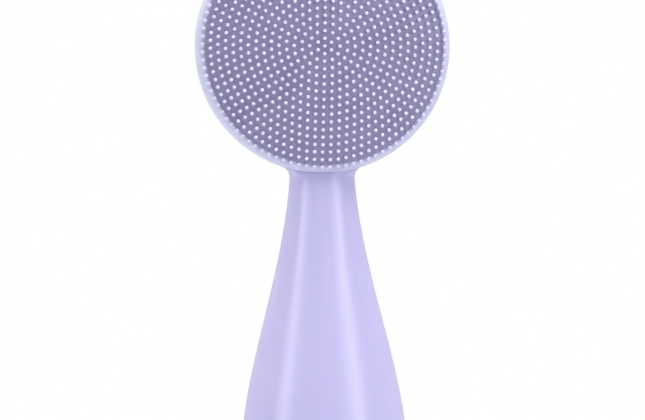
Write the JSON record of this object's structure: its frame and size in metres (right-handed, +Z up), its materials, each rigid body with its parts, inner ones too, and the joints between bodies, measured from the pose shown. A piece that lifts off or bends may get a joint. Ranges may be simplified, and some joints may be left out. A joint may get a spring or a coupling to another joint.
{
  "type": "facial cleansing brush",
  "caption": "Battery facial cleansing brush: round silicone bristle head on a waisted handle, with vibration motor, push button and quarter-turn battery cap.",
  "frame": {"origin": "centre of the flat resting face at the foot of the handle", "axes": "+Z up the handle towards the head, -Y out of the brush face, +X to the right seen from the brush face"},
  "size_m": [0.06, 0.0372, 0.16],
  "materials": {
    "lilac_silicone": "satin silicone, soft touch",
    "brush_silicone": "translucent satin silicone",
    "button_silicone": "satin silicone",
    "base_plastic": "fine matte moulding",
    "core_plastic": "moulded ABS",
    "seal_rubber": "matte seal rubber",
    "screw_steel": "plated steel",
    "spring_steel": "drawn wire, nickel plated",
    "motor_steel": "drawn steel",
    "gold_contact": "gold-plated contact",
    "copper_winding": "enamelled copper",
    "battery_wrap": null,
    "board": "solder mask",
    "chip_plastic": "moulded epoxy",
    "led_lens": "clear epoxy",
    "red_wire": "PVC insulation",
    "black_wire": "PVC insulation"
  },
  "bodies": {
    "handle": {"silicone_sleeve": "lilac_silicone", "brush_pad": "brush_silicone", "core_front_shell": "core_plastic", "core_rear_shell": "core_plastic", "core_screw_head_left": "screw_steel", "core_screw_head_right": "screw_steel", "core_screw_base_left": "screw_steel", "core_screw_base_right": "screw_steel", "battery_housing": "base_plastic", "housing_gasket": "seal_rubber", "positive_contact": "gold_contact", "negative_strip": "gold_contact", "control_board": "board", "board_screw_upper": "screw_steel", "board_screw_lower": "screw_steel", "controller_chip": "chip_plastic", "boost_inductor": "chip_plastic", "status_led": "led_lens", "switch_body": "chip_plastic", "motor_can": "motor_steel", "motor_end_cap": "core_plastic", "motor_bracket": "motor_steel", "bracket_screw_left": "screw_steel", "bracket_screw_right": "screw_steel", "motor_lead_red": "red_wire", "motor_lead_black": "black_wire", "positive_lead": "red_wire", "negative_lead": "black_wire"},
    "rotor": {"motor_shaft": "motor_steel", "motor_armature": "copper_winding", "eccentric_weight": "motor_steel"},
    "button": {"power_button": "button_silicone", "button_seal": "seal_rubber"},
    "plunger": {"switch_plunger": "core_plastic"},
    "seal": {"cap_seal": "seal_rubber"},
    "cap": {"battery_cap": "base_plastic", "cap_contact": "gold_contact", "contact_spring": "spring_steel"},
    "cell": {"battery": "battery_wrap"}
  },
  "joints": [
    {"name": "motor_spin", "type": "hinge", "parent": "handle", "child": "rotor", "pos_m": [0, 0.0015, 0.121], "axis": [0, 0, 1], "continuous": true},
    {"name": "button_press", "type": "slide", "parent": "handle", "child": "button", "axis": [0, 1, 0], "range_m": [0, 0.0003]},
    {"name": "switch_press", "type": "slide", "parent": "handle", "child": "plunger", "axis": [0, 1, 0], "range_m": [0, 0.0003]},
    {"name": "cap_drop", "type": "slide", "parent": "handle", "child": "seal", "axis": [0, 0, -1], "range_m": [0, 0.0024]},
    {"name": "cap_turn", "type": "hinge", "parent": "seal", "child": "cap", "pos_m": [0, 0, 0.003], "axis": [0, 0, -1], "range_deg": [0, 90]},
    {"name": "cell_drop", "type": "slide", "parent": "handle", "child": "cell", "axis": [0, 0, -1], "range_m": [0, 0.0024]}
  ],
  "couplings": [
    {"joint": "switch_press", "follows": "button_press", "ratio": 1},
    {"joint": "cap_drop", "follows": "cap_turn", "m_per_rad": 0.001527},
    {"joint": "cell_drop", "follows": "cap_turn", "m_per_rad": 0.001527}
  ]
}
